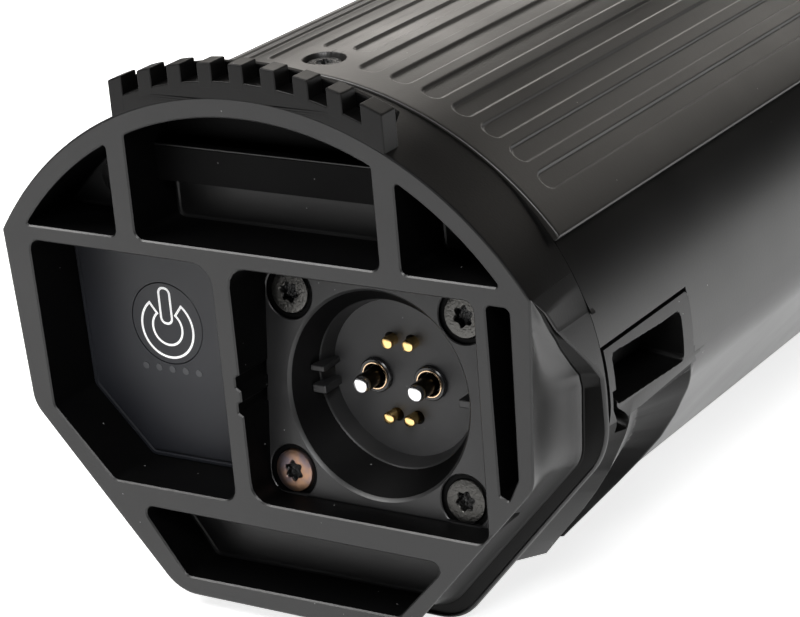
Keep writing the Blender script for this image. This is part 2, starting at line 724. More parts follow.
@dataclass
class CapOutline:
    """Outlines of the end cap at matching points: the face, the body behind it and the lower lip.

    Both halves are alike, and the points run from the top of the arch down the right side to the middle
    of the bottom edge.
    """

    shoulder: tuple[float, float] = (45.0, 0.0)
    face_bend: tuple[float, float] = (43.35, -27.6)
    face_foot: tuple[float, float] = (19.8, -54.6)
    face_bend_r: float = 5.0
    face_foot_r: float = 7.0
    lip_bend: tuple[float, float] = (48.2, -26.5)
    lip_foot: tuple[float, float] = (22.0, -57.2)
    lip_bend_r: float = 12.0
    lip_foot_r: float = 8.0
    shear_from: float = -15.0
    flank_angle: float = 56.1
    arch_count: int = 64
    side_count: int = 64
    bend_count: int = 10
    run_count: int = 10

    def flank_x(self, height: np.ndarray) -> np.ndarray:
        """Half width of the body at heights above its widest level: a circle about the flank's centre."""
        rise = np.maximum(height - FLANK_CENTRE[1], 0.0)
        return FLANK_CENTRE[0] + np.sqrt(FLANK_RADIUS ** 2 - rise ** 2)

    def lower(self, bend: tuple, foot: tuple, bend_r: float, foot_r: float, top: np.ndarray) -> np.ndarray:
        """Bend, chamfer, foot and half of the bottom edge, with both corners as arcs.

        Args:
            bend: Corner between flank and chamfer.
            foot: Corner between chamfer and bottom edge.
            bend_r: Radius of the bend.
            foot_r: Radius of the foot.
            top: Point above the bend that gives the flank's direction.

        Returns:
            Points from the bend's first point to the middle of the bottom edge.
        """
        bend_at, foot_at, middle = np.array(bend), np.array(foot), np.array([0.0, foot[1]])
        path = np.array([top, bend_at, foot_at, middle])
        first = rounded(path, np.array([0.0, bend_r, 0.0, 0.0]), self.bend_count)[1:1 + self.bend_count]
        last = rounded(path, np.array([0.0, 0.0, foot_r, 0.0]), self.bend_count)[2:2 + self.bend_count]
        share = np.linspace(0.0, 1.0, self.run_count + 2)[1:-1, None]
        chamfer = first[-1] + (last[0] - first[-1]) * share
        share = np.linspace(0.0, 1.0, self.run_count + 1)[1:, None]
        bottom = last[-1] + (middle - last[-1]) * share
        return np.concatenate([first, chamfer, last, bottom])

    def halves(self) -> tuple[np.ndarray, np.ndarray, np.ndarray]:
        """Work out the right halves of the face outline and the outer outline, at matching points.

        Returns:
            Face points, outer points, and the height of each face point.
        """
        turn = math.degrees(math.atan2(ARCH_DROP, self.shoulder[0]))
        angles = np.linspace(90.0, turn, self.arch_count)
        face_arch = arc((0.0, -ARCH_DROP), ARCH_RADIUS, 90.0, turn, self.arch_count)
        face_arch[-1] = self.shoulder
        radial = np.stack([np.cos(np.radians(angles)), np.sin(np.radians(angles))], axis=1)
        centre = np.array(FLANK_CENTRE) + np.array([0.0, ARCH_DROP])
        along = radial @ centre
        reach = along + np.sqrt(np.maximum(along ** 2 - centre @ centre + FLANK_RADIUS ** 2, 0.0))
        reach = np.where(angles > self.flank_angle, ARCH_RADIUS, np.minimum(reach, ARCH_RADIUS))
        outer_arch = np.array([0.0, -ARCH_DROP]) + radial * reach[:, None]
        shoulder = np.array(self.shoulder)
        face_low = self.lower(self.face_bend, self.face_foot, self.face_bend_r, self.face_foot_r, shoulder)
        lip_low = self.lower(self.lip_bend, self.lip_foot, self.lip_bend_r, self.lip_foot_r,
                             np.array([HALF_WIDTH, FLANK_CENTRE[1]]))
        share = np.linspace(0.0, 1.0, self.side_count + 1)[1:-1]
        face_side = shoulder + (face_low[0] - shoulder) * share[:, None]
        height = face_side[:, 1]
        squeeze = (lip_low[0, 1] - self.shear_from) / (face_low[0, 1] - self.shear_from)
        sheared = self.shear_from + (height - self.shear_from) * squeeze
        lip_height = np.where(height > self.shear_from, height, sheared)
        outer_side = np.stack([self.flank_x(lip_height), lip_height], axis=1)
        face = np.concatenate([face_arch, face_side, face_low])
        outer = np.concatenate([outer_arch, outer_side, lip_low])
        return face, outer, np.concatenate([face_arch[:, 1], height, face_low[:, 1]])


def mirrored(rows: np.ndarray) -> np.ndarray:
    """Close right halves of rings to full rings: the left half is the right one with x turned round.

    Args:
        rows: Array of shape rings, points, 3 whose first and last points lie on the middle plane.

    Returns:
        Array with the left half's points after the right half's.
    """
    left = rows[:, -2:0:-1] * np.array([-1.0, 1.0, 1.0])
    return np.concatenate([rows, left], axis=1)


class CapFace(IntEnum):
    """Places of the cap's finishes in its list."""

    PLAIN = 0
    POCKET = 1
    COLLAR = 2
    COVE = 3


@dataclass
class EndCap:
    """Moulded end cap: collar with its two ridges, front face, windows, cross rib and toothed rim."""

    outline: CapOutline = field(default_factory=CapOutline)
    edge: float = 0.3
    collar: float = 13.3
    back: float = 14.3
    plug_inset: float = 3.2
    cove_depth: float = 0.95
    inner_ridge_rise: float = 0.75
    valley: float = 0.75
    bulge_slope: float = 0.42
    bulge_most: float = 1.0
    bulge_low: float = -12.0
    bulge_fade: float = 5.0
    chamfer: float = 0.22
    outer_ridge_at: tuple = ((0.0, 0.3), (-8.1, 6.5), (-12.9, 10.6), (-15.2, 12.3))
    inner_ridge_at: tuple = ((0.0, 0.3), (-3.6, 2.3), (-9.1, 6.1), (-12.8, 9.3), (-14.9, 11.3), (-17.0, 12.0))
    crest: float = 0.45
    full_below: float = 3.0
    cove_shares: tuple = (0.1, 0.25, 0.42, 0.6, 0.76, 0.88, 0.96)
    cove_power: float = 1.1
    inner_crest: tuple = ((0.05, 0.85), (0.2, 1.0))
    outer_crest: tuple = ((0.1, 1.15), (0.0, 0.8), (0.12, 0.3))
    arch_from: int = 3
    cove_rows: tuple[int, int] = (2, 11)
    valley_rows: tuple[int, int] = (11, 14)
    lip_from: int = 17
    lip_low: float = -6.0
    fillet: float = 0.4
    fillet_bend: float = 0.12
    rim_radius: float = 51.3
    bar_high: float = 1.2
    middle_window_x: tuple[float, float] = (-20.1, 21.5)
    right_window_x: float = 25.0
    left_window_x: float = -23.6
    middle_depth: float = 10.8
    side_depth: float = 11.2
    display_depth: float = 11.1
    button_hole: tuple = (-23.9, -15.7, 6.8)
    connector_depth: float = 13.9
    slot_depth: float = 11.2
    base_depth: float = 8.0
    draft: float = 0.15
    display_corners: tuple = ((-40.2, -1.1), (-7.35, -1.3), (-7.4, -37.8), (-29.6, -37.9), (-39.5, -27.4))
    display_radii: tuple = (1.6, 3.3, 2.0, 1.6, 1.6)
    connector_corners: tuple = ((-4.35, -1.3), (36.0, -1.3), (35.5, -37.3), (-4.3, -37.35), (-4.3, -24.0),
                                (-5.1, -23.5), (-5.1, -22.1), (-4.3, -21.7), (-4.3, -20.1), (-5.1, -19.6),
                                (-5.1, -18.0), (-4.3, -17.6))
    connector_radii: tuple = (3.0, 1.4, 2.0, 3.0, 0.15, 0.35, 0.35, 0.15, 0.15, 0.35, 0.35, 0.15)
    slot_corners: tuple = ((37.85, -1.6), (41.6, -1.6), (41.0, -26.5), (39.3, -29.95), (37.9, -29.3))
    slot_radii: tuple = (0.7, 0.9, 0.6, 0.4, 0.4)
    base_corners: tuple = ((-25.5, -41.3), (28.5, -41.4), (19.4, -51.3), (-18.0, -51.7))
    base_radii: tuple = (1.2, 1.2, 1.6, 1.6)
    barrel_hole: tuple[float, float, float] = (14.6, -20.6, 17.2)
    rib_y: tuple[float, float] = (6.8, 8.4)
    rib_z: tuple[float, float] = (8.1, 13.7)
    rib_overlap: float = 0.4
    rib_top: float = 0.4
    rib_proud: float = 0.02
    rib_bevel: float = 0.18
    panel_y: tuple[float, float] = (-0.25, 0.1)
    panel_overlap: float = 0.2
    arched_radii: tuple = (1.4, 1.4, 0.6, 0.6)
    arched_side_radii: tuple = (1.0, 0.35, 0.5)
    arch_steps: int = 26
    side_steps: int = 18

    def collar_rows(self) -> np.ndarray:
        """Rings of the collar, from the front edge to the back of the lip.

        At each point of the outline the rings step back in y. Below the shoulder they run down a shallow
        cove, whose depth is a sine of the way to the inner ridge, over that ridge, out to the outer ridge
        or lip, and back along it. On the arch they run straight from the face outline to the body's.
        """
        face, outer, height = self.outline.halves()
        loop = mirrored(at_depth(face, 0.0)[None])[0][:, [0, 2]]
        normal = (grown(loop, 1.0) - loop)[:len(face)]
        normal /= np.linalg.norm(normal, axis=1, keepdims=True)
        lean = np.array(self.outer_ridge_at)
        inner = np.array(self.inner_ridge_at)
        outer_y = np.interp(-height, -lean[:, 0], lean[:, 1])
        inner_y = np.interp(-height, -inner[:, 0], inner[:, 1])
        below = height < -SHOULDER_MARGIN
        bulge = self.outline.shoulder[0] + np.minimum(-self.bulge_slope * height, self.bulge_most)
        body = outer.copy()
        part = np.where(below, np.clip((height - self.bulge_low) / self.bulge_fade, 0.0, 1.0), 0.0)
        outer[:, 0] += np.maximum(bulge - outer[:, 0], 0.0) * part
        outer_y = np.where(below, outer_y, self.edge + 0.02)
        inner_y = np.where(below, inner_y, self.edge + 0.01)
        deep = np.clip(-height / self.full_below, 0.0, 1.0)
        slope = outer - face
        rows = []

        def ring(depth: np.ndarray | float, points: np.ndarray) -> None:
            """Keep one ring."""
            rows.append(at_depth(points, depth))

        ring(0.0, face - normal * self.edge)
        ring(self.edge * 0.3, face - normal * self.edge * 0.3)
        ring(self.edge, face)
        reach = np.linalg.norm(slope, axis=1)[:, None]
        out_dir = slope / np.maximum(reach, 1e-6)
        rise = np.minimum(self.inner_ridge_rise * deep[:, None], reach * 0.4)
        for share in self.cove_shares:
            depth = self.edge + (inner_y - self.edge) * share
            sink = -self.cove_depth * math.sin(math.pi * share ** self.cove_power) * deep[:, None]
            ring(depth, face + normal * (sink + rise * share ** 4 * 0.7))
        for depth, share in self.inner_crest:
            ring(inner_y + depth * deep, face + normal * rise * share)
        valley_y = self.valley * deep
        ring(inner_y + valley_y * 0.8, face + normal * rise * 1.02)
        taper = np.where(below, 1.0, 0.0)[:, None]
        crest = np.minimum(self.crest, reach * 0.3)
        near = face + normal * np.minimum(rise + 0.2, reach * 0.5) * taper
        far = face + out_dir * (reach - crest * 1.5) * taper
        ring(np.minimum(inner_y + valley_y, outer_y + valley_y), near)
        ring(outer_y + valley_y * 0.7, far)
        for depth, share in self.outer_crest:
            ring(outer_y + depth * deep, face + out_dir * (reach - crest * share) * taper)
        ring(outer_y + 0.4 * deep, face + slope * taper)
        middle = (outer_y + self.collar) / 2.0
        half = np.where(below[:, None], outer + (body - outer) * 0.5, face + (body - face) * 0.5)
        ring(np.maximum(middle, outer_y + 0.45 * deep), half)
        ring(self.collar - 0.15, body)
        ring(self.collar, body - normal * 0.15)
        return mirrored(np.stack(rows))

    def window(self, shell: Shell, loop: np.ndarray, depth: float, holes: tuple = ()) -> np.ndarray:
        """Line a window with walls that have a small chamfer, a little draft and a floor.

        Args:
            shell: Surface that takes the walls.
            loop: Outline of the window at the face.
            depth: Depth of the floor.
            holes: Outlines of holes in the floor.

        Returns:
            The outline at the face with its chamfer.
        """
        steps = ((self.chamfer, 0.0), (0.0, self.chamfer), (-self.draft, depth - self.fillet),
                 (-self.draft - self.fillet_bend, depth - self.fillet_bend),
                 (-self.draft - self.fillet, depth))
        rings = [at_depth(grown(loop, wide), deep) for wide, deep in steps]
        shell.tube(rings[:2])
        shell.tube(rings[1:3], finish=CapFace.POCKET)
        shell.tube(rings[2:])
        shell.flat([rings[-1]] + [at_depth(hole, depth) for hole in holes])
        return rings[0]

    def arched(self, x0: float, x1: float) -> np.ndarray:
        """Outline of an upper window: straight sides under the arched rim, with small rounded corners."""
        centre = (0.0, -ARCH_DROP)
        start = math.degrees(math.acos(x1 / self.rim_radius))
        stop = math.degrees(math.acos(x0 / self.rim_radius))
        top = arc(centre, self.rim_radius, start, stop, self.arch_steps)
        corners = [np.array([[x0, self.bar_high], [x1, self.bar_high]]), top]
        radii = np.zeros(2 + len(top))
        radii[[0, 1, 2, -1]] = self.arched_radii
        return rounded(np.concatenate(corners), radii)

    def arched_side(self, x0: float) -> np.ndarray:
        """Outline of an outer upper window, whose rim meets the bar along the shoulder line."""
        side = 1.0 if x0 > 0.0 else -1.0
        centre = (0.0, -ARCH_DROP)
        low = math.degrees(math.asin((ARCH_DROP + self.bar_high) / self.rim_radius))
        high = math.degrees(math.acos(abs(x0) / self.rim_radius))
        top = arc(centre, self.rim_radius, low, high, self.side_steps)
        points = np.concatenate([np.array([[abs(x0), self.bar_high]]), top])
        radii = np.zeros(len(points))
        radii[[0, 1, -1]] = self.arched_side_radii
        return rounded(points, radii) * np.array([side, 1.0])

    def build(self) -> None:
        """Build the cap and its rib."""
        shell = Shell("end_cap_shell")
        rows = self.collar_rows()
        height = rows[-1][:, 2]
        finish = np.zeros((len(rows) - 1, len(height)), dtype=int)
        below = height < -SHOULDER_MARGIN
        finish[self.arch_from:, height > -SHOULDER_MARGIN] = CapFace.COLLAR
        finish[slice(*self.cove_rows), below] = CapFace.COVE
        finish[slice(*self.valley_rows), below] = CapFace.COLLAR
        finish[self.lip_from:, (height < 0.0) & (height > self.lip_low)] = CapFace.COLLAR
        shell.grid(rows, closed=True, finish=finish.ravel())
        hole, button = (circle((x, z), r) for x, z, r in (self.barrel_hole, self.button_hole))
        windows = [(self.arched(*self.middle_window_x), self.middle_depth),
                   (self.arched_side(self.right_window_x), self.side_depth),
                   (self.arched_side(self.left_window_x), self.side_depth)]
        for corners, radii, depth, holes in (
                (self.display_corners, self.display_radii, self.display_depth, (button,)),
                (self.connector_corners, self.connector_radii, self.connector_depth, (hole,)),
                (self.slot_corners, self.slot_radii, self.slot_depth, ()),
                (self.base_corners, self.base_radii, self.base_depth, ())):
            windows.append((rounded(np.array(corners), np.array(radii)), depth, holes))
        shell.flat([rows[0]] + [self.window(shell, *window) for window in windows])
        outer = rows[-1][:, [0, 2]]
        plug = grown(outer, -self.plug_inset)
        shell.tube([rows[-1], at_depth(plug, self.collar), at_depth(plug, self.back)])
        for loop, depth in ((hole, self.connector_depth), (button, self.display_depth)):
            shell.tube([at_depth(loop, depth), at_depth(loop, self.back)])
        shell.flat([at_depth(loop, self.back) for loop in (plug, hole, button)])
        shell.finished([CAP_PLASTIC, POCKET_PLASTIC, COLLAR_PLASTIC, COVE_PLASTIC], stands_for=("end_cap",))
        rib = Shell("end_cap_rib")
        x0, x1 = self.middle_window_x
        left, right = x0 - self.rib_overlap, x1 + self.rib_overlap
        rib.block((left, self.rib_y[0], self.rib_z[0]), (right, self.rib_y[1], self.rib_z[1] - self.rib_top))
        across = np.linspace(x0, x1, 24)
        rise = np.sqrt((self.rim_radius + self.panel_overlap) ** 2 - across ** 2) - ARCH_DROP
        over = np.stack([across, rise], axis=1)
        under = np.array([[x1, self.rib_z[0] + 1.0], [x0, self.rib_z[0] + 1.0]])
        front, back = (self.middle_depth + step for step in self.panel_y)
        rib.bar(np.concatenate([over, under]), front, back)
        rib.finished([POCKET_PLASTIC])
        top = Shell("end_cap_rib_top")
        top.block((left, self.rib_y[0] - self.rib_proud, self.rib_z[1] - self.rib_top),
                  (right, self.rib_y[1], self.rib_z[1]))
        top.finished([CAP_PLASTIC], bevel=self.rib_bevel)


@dataclass
class ToothedRim:
    """Toothed rim along the top of the face: a band, a lower wall behind, and nine teeth."""

    tooth_count: int = 9
    pitch: float = 5.3
    first_gap: float = 2.5
    gap: float = 2.85
    band_rise: float = 2.3
    wall_rise: float = 4.1
    tooth_rise: float = 4.9
    tooth_depth: float = 3.6
    wall_depth: float = 1.2
    sink: float = 0.6
    set_back: float = 0.05
    tooth_front: float = 0.02
    end_rise: float = 0.35
    end_x: tuple[float, float] = (-21.7, 24.1)
    bevel: float = 0.24

    def sector(self, inner: float, outer: float, start: float, stop: float, count: int) -> np.ndarray:
        """Outline of a slice of a ring, with angles counted from straight up towards the right."""
        centre = (0.0, -ARCH_DROP)
        over = arc(centre, outer, 90.0 - start, 90.0 - stop, count)
        under = arc(centre, inner, 90.0 - stop, 90.0 - start, count)
        return np.concatenate([over, under])

    def tooth(self, left: float, right: float, low: float) -> np.ndarray:
        """Outline of a tooth: upright sides, with top and foot following the arch.

        Args:
            left: Place of its left side in x.
            right: Place of its right side in x.
            low: Radius of its foot.

        Returns:
            Points round the outline.
        """
        across = np.linspace(left, right, 4)
        top = ARCH_RADIUS + self.tooth_rise
        rise = np.sqrt(top ** 2 - across ** 2) - ARCH_DROP
        foot = np.sqrt(low ** 2 - across ** 2) - ARCH_DROP
        return np.concatenate([np.stack([across, rise], axis=1), np.stack([across, foot], axis=1)[::-1]])

    def build(self) -> None:
        """Build the rim as closed bars with rounded edges."""
        base = ARCH_RADIUS - self.sink
        back = self.tooth_depth + self.wall_depth
        rim = Shell("toothed_rim")
        for rise, y0, y1, finish in ((self.band_rise, self.set_back, self.tooth_depth, 0),
                                     (self.wall_rise, self.tooth_depth, back, 1)):
            top = ARCH_RADIUS + rise
            first, last = (math.degrees(math.asin(side / top)) for side in self.end_x)
            rim.bar(self.sector(base, top, first, last, 40), y0, y1, finish=finish)
        starts = self.end_x[0] + self.first_gap + self.pitch * np.arange(self.tooth_count - 1)
        lefts = np.concatenate([[self.end_x[0]], starts + self.gap])
        rights = np.concatenate([starts, [self.end_x[1]]])
        for index, (left, right) in enumerate(zip(lefts, rights)):
            ends = index in (0, self.tooth_count - 1)
            low = base + self.end_rise if ends else ARCH_RADIUS + self.band_rise / 2.0
            rim.bar(self.tooth(left, right, low), self.tooth_front, self.tooth_depth)
        rim.finished([COMB_PLASTIC, POCKET_PLASTIC], bevel=self.bevel)


# Covers


@dataclass
class TopCover:
    """Arched cover plate with finger grooves, its screws' recesses and its stepped edges."""

    proud: float = 0.3
    half_angle: float = 50.8
    turn: float = 1.8
    groove_pairs: int = 8
    groove_pitch: float = 5.45
    groove_half: float = 1.5
    groove_depth: float = 0.42
    wall: float = 0.5
    start: float = 18.7
    retreat: float = 6.5
    front: float = 13.3
    back_margin: float = 4.0
    screw_y: float = 20.0
    screw_recess_r: float = 2.95
    screw_recess_d: float = 1.5
    screw_head_r: float = 2.55
    screw_head_d: float = 0.5
    head_profile: tuple = ((1.0, 2.6), (1.0, 2.0), (1.0, 1.9), (1.0, 0.3), (0.94, 0.08), (0.8, 0.0))
    star_r: float = 1.15
    star_wave: float = 0.18
    wall_span: tuple[float, float] = (1.1, 1.9)
    floor_half: float = 0.85
    screw_half: float = 4.2
    side_from: float = 44.0
    edge_rows: tuple = (0.0, 0.06, 0.14, 0.24, 0.36, 0.6, 1.4)
    row_step: float = 0.16
    round_angle: float = 0.45
    round_end: float = 0.36
    thickness: float = 2.6

    def groove_centres(self) -> np.ndarray:
        """Angles of the grooves' middles in degrees from straight up."""
        steps = np.arange(-self.groove_pairs, self.groove_pairs) + 0.5
        return steps * self.groove_pitch + self.turn

    def columns(self) -> np.ndarray:
        """Angles of the columns: close together across each groove and wide apart elsewhere."""
        to_degrees = math.degrees(1.0 / ARCH_RADIUS)
        near, far = self.wall_span
        local = np.concatenate([
            np.linspace(-far, -near, 8), np.linspace(-self.floor_half, self.floor_half, 6),
            np.linspace(near, far, 8),
        ])
        angles = (self.groove_centres()[:, None] + local[None] * to_degrees).ravel()
        middle = np.linspace(-self.screw_half, self.screw_half, 57) * to_degrees + self.turn
        sides = np.concatenate([np.linspace(self.side_from, self.half_angle - 0.6, 6),
                                self.half_angle - self.round_angle * np.linspace(0.0, 1.0, 6) ** 2])
        return np.unique(np.round(np.concatenate([angles, middle, sides, -sides]), 5))

    def rows_y(self) -> np.ndarray:
        """Distances of the rows from the front face: close together at the grooves' round ends."""
        length = PACK_LENGTH
        edge = np.array(self.edge_rows)
        reach = self.screw_recess_r + 0.4
        near = np.concatenate([
            self.front + edge,
            np.arange(self.screw_y - reach, self.screw_y + reach, self.row_step),
            np.arange(self.start + self.retreat - 0.4, self.start + self.retreat + 2.1, self.row_step),
        ])
        middle = np.linspace(self.start + self.retreat + 4.0, length / 2.0, 12)
        half = np.concatenate([near, middle])
        rear = length - self.back_margin - edge
        return np.unique(np.round(np.concatenate([half, length - half[half > self.front + 1.5], rear]), 4))

    def depth(self, angle: np.ndarray, y: np.ndarray) -> np.ndarray:
        """Depth below the cover's surface at each angle and distance from the front.

        A groove is a capsule: a smooth step of the distance to its middle line, which runs from one round
        end's centre to the other's. A screw recess is a smooth step of the distance to its screw.
        """
        length = PACK_LENGTH
        across = np.radians(angle) * ARCH_RADIUS
        sunk = np.zeros(np.broadcast(angle, y).shape)
        for index, centre in enumerate(self.groove_centres()):
            middle = index in (self.groove_pairs - 1, self.groove_pairs)
            first = self.start + self.groove_half + (self.retreat if middle else 0.0)
            past = np.maximum(np.maximum(first - y, y - (length - first)), 0.0)
            distance = np.hypot(across - math.radians(centre) * ARCH_RADIUS, past)
            share = eased((self.groove_half + self.wall / 2.0 - distance) / self.wall)
            sunk = np.maximum(sunk, share * self.groove_depth)
        for screw in (self.screw_y, length - self.screw_y):
            distance = np.hypot(across - math.radians(self.turn) * ARCH_RADIUS, y - screw)
            share = eased((self.screw_recess_r - distance) / self.wall + 0.5)
            sunk = np.maximum(sunk, share * self.screw_recess_d)
        return sunk

    def build(self) -> None:
        """Build the cover as a closed plate."""
        angle, y = np.meshgrid(self.columns(), self.rows_y())
        edge = np.clip((self.half_angle - np.abs(angle)) / self.round_angle, 0.0, 1.0)
        near = np.minimum(y - self.front, PACK_LENGTH - self.back_margin - y)
        end = np.clip(near / self.round_end, 0.0, 1.0)
        lift = self.proud * np.sqrt(1.0 - (1.0 - edge) ** 2) * np.sqrt(1.0 - (1.0 - end) ** 2)
        radius = ARCH_RADIUS + lift - self.depth(angle, y)
        top = self.on_arch(angle, y, radius)
        low = ARCH_RADIUS - self.thickness + self.groove_depth * 0.2
        under = self.on_arch(angle, y, np.full_like(radius, low))
        shell = Shell("ribbed_cover")
        shell.grid(top)
        shell.grid(under[[0, -1]])
        for line in (0, -1):
            shell.grid(np.stack([top[line], under[line]]))
            shell.grid(np.stack([top[:, line], np.linspace(under[0, line], under[-1, line], len(y))]))
        shell.finished([COVER_PLASTIC], stands_for=("top_cover",))
        self.screws()

    def screws(self) -> None:
        """Build the two screws of the cover: a turned head with a six-lobed recess, set below the cover."""
        turn = SCREW_TURN
        lobes = star(turn, self.star_r, self.star_wave)
        head = Shell("cover_screws")
        for y in (self.screw_y, PACK_LENGTH - self.screw_y):
            scale = [(self.screw_head_r * share * np.ones_like(turn), deep)
                     for share, deep in self.head_profile]
            scale += [(lobes + 0.1, 0.02), (lobes, 0.15), (lobes * 0.95, 1.1)]
            rings = []
            for reach, deep in scale:
                across = np.degrees(reach * np.cos(turn) / ARCH_RADIUS) + self.turn
                radius = ARCH_RADIUS + self.proud - self.screw_head_d - deep
                rings.append(self.on_arch(across, y + reach * np.sin(turn), radius * np.ones_like(turn)))
            head.tube(rings[:-1])
            head.tube(rings[-2:], finish=1)
            head.flat([rings[-1]], finish=1)
            head.flat([rings[0]])
        head.finished([DRIVE_STEEL, DRIVE_STEEL], stands_for=("top_cover_screws",))

    def on_arch(self, angle: np.ndarray, y: np.ndarray, radius: np.ndarray) -> np.ndarray:
        """Points at angles from straight up and radii about the arch's axis."""
        turn = np.radians(angle)
        return np.stack([radius * np.sin(turn), y, radius * np.cos(turn) - ARCH_DROP], axis=-1)


# Side grips


class GripFace(IntEnum):
    """Places of the grip's finishes in its list."""

    FRAME = 0
    BOWL = 1
    SKIRT = 2
    CREST = 3
    RAMP = 4


@dataclass
class SideGrip:
    """Side grip: a framed pocket above a scooped pull lip, laid over the flank and the chamfer.

    A place on it is given by the way down from a level near the shoulder, measured over the flank, the
    bend and the chamfer, and by y. The rise is counted out from the body's surface.
    """

    start_z: float = -10.0
    bend: tuple[float, float] = (48.2, -23.9)
    foot: tuple[float, float] = (20.8, -56.0)
    bend_r: float = 12.0
    front: float = 13.9
    top: float = 1.8
    rear: float = 38.9
    skirt: float = 42.6
    flush: float = 0.02
    end: float = 43.0
    corner_r: float = 0.9
    crease: tuple = ((0.0, 23.0), (13.5, 23.5), (19.0, 28.5), (25.0, 32.5), (29.0, 33.5), (33.0, 32.0),
                     (38.0, 28.0), (45.0, 23.4))
    pocket_top: float = 3.3
    pocket_y: tuple[float, float] = (15.7, 35.7)
    pocket_r: float = 1.0
    pocket_depth: float = 7.0
    bar_top: float = 10.7
    bar_lean: float = 0.05
    bar_lean_from: float = 20.4
    bar_width: float = 2.1
    notch_low: float = 14.3
    crest: tuple = ((0.0, 20.6, 0.0), (11.2, 20.4, 0.0), (13.3, 18.8, 0.75), (17.0, 17.6, 1.6),
                    (21.0, 17.2, 2.7), (26.0, 18.0, 3.2), (31.0, 19.0, 3.35), (38.5, 20.0, 3.35),
                    (45.0, 21.5, 3.35))
    rim: tuple = ((0.0, 38.5, 0.0), (13.5, 38.9, 0.0), (18.0, 40.0, 1.0), (23.0, 40.6, 2.0),
                  (27.0, 39.6, 2.7), (31.0, 37.5, 2.9), (35.0, 34.5, 2.95), (39.0, 31.0, 2.95),
                  (42.0, 27.5, 3.0), (45.0, 23.5, 3.2))
    bowl: tuple = ((12.0, 0.0), (13.0, 0.0), (13.4, 2.2), (20.0, 2.8), (30.0, 2.8), (38.0, 1.8), (45.0, 0.6))
    front_rise: tuple = ((0.0, 0.0), (16.0, 0.0), (22.0, 0.9), (45.0, 1.2))
    wall: float = 0.14
    back: float = 8.6
    near_shares: tuple = (0.0, 0.02, 0.05, 0.1, 0.2, 0.3, 0.4, 0.5, 0.6, 0.7, 0.8, 0.88, 0.94, 0.98)
    last_shares: tuple = (0.0, 0.04, 0.1, 0.18, 0.4, 0.7, 0.82, 0.88, 0.93, 0.97, 1.0)
    fade: float = 0.5
    notch_shares: tuple[float, float] = (0.45, 0.93)
    notch_reach: float = 2.0
    under: float = 1.3

    def on_flank(self, way: np.ndarray, y: np.ndarray, rise: np.ndarray) -> np.ndarray:
        """Points of the right grip, down over the flank, its upright stretch, the bend and the chamfer."""
        centre = np.array(FLANK_CENTRE)
        bend, foot = np.array(self.bend), np.array(self.foot)
        run = (foot - bend) / np.linalg.norm(foot - bend)
        turn = math.acos(-run[1])
        tangent = self.bend_r * math.tan(turn / 2.0)
        first = math.asin((self.start_z - centre[1]) / FLANK_RADIUS)
        to_upright = FLANK_RADIUS * first
        to_bend = to_upright + centre[1] - (bend[1] + tangent)
        to_chamfer = to_bend + self.bend_r * turn
        angle = np.select([way < to_upright, way < to_bend, way < to_chamfer],
                          [first - way / FLANK_RADIUS, 0.0 * way, -(way - to_bend) / self.bend_r], -turn)
        hub_x = np.where(way < to_upright, centre[0], HALF_WIDTH - self.bend_r)
        hub_z = np.where(way < to_upright, centre[1], bend[1] + tangent)
        hub_z = hub_z + np.where((way >= to_upright) & (way < to_bend), to_bend - way, 0.0)
        reach = np.where(way < to_upright, FLANK_RADIUS, self.bend_r) + rise
        past = np.maximum(way - to_chamfer, 0.0)
        x = hub_x + reach * np.cos(angle) + run[0] * past
        z = hub_z + reach * np.sin(angle) + run[1] * past
        return np.stack([x, y, z], axis=-1)

    def box(self, way: np.ndarray, y: np.ndarray, low: tuple, high: tuple, radius: float) -> np.ndarray:
        """Share from 0 to 1 of lying inside a rectangle with rounded corners.

        Args:
            way: Ways down.
            y: Distances from the front face.
            low: Least way and y.
            high: Greatest way and y.
            radius: Radius of the corners.

        Returns:
            1 inside and 0 outside, eased over the wall's width.
        """
        across = np.abs(way - (low[0] + high[0]) / 2.0) - (high[0] - low[0]) / 2.0 + radius
        along = np.abs(y - (low[1] + high[1]) / 2.0) - (high[1] - low[1]) / 2.0 + radius
        outside = np.hypot(np.maximum(across, 0.0), np.maximum(along, 0.0))
        distance = outside + np.minimum(np.maximum(across, along), 0.0) - radius
        return eased(0.5 - distance / self.wall)

    def lines(self, way: np.ndarray) -> tuple:
        """Places and rises of the crest and the rear rim at each way down."""
        crest, rim = np.array(self.crest), np.array(self.rim)
        crest_y = np.interp(way, crest[:, 0], crest[:, 1])
        rim_y = np.interp(way, rim[:, 0], rim[:, 1])
        return crest_y, np.interp(way, crest[:, 0], crest[:, 2]), rim_y, np.interp(way, rim[:, 0], rim[:, 2])

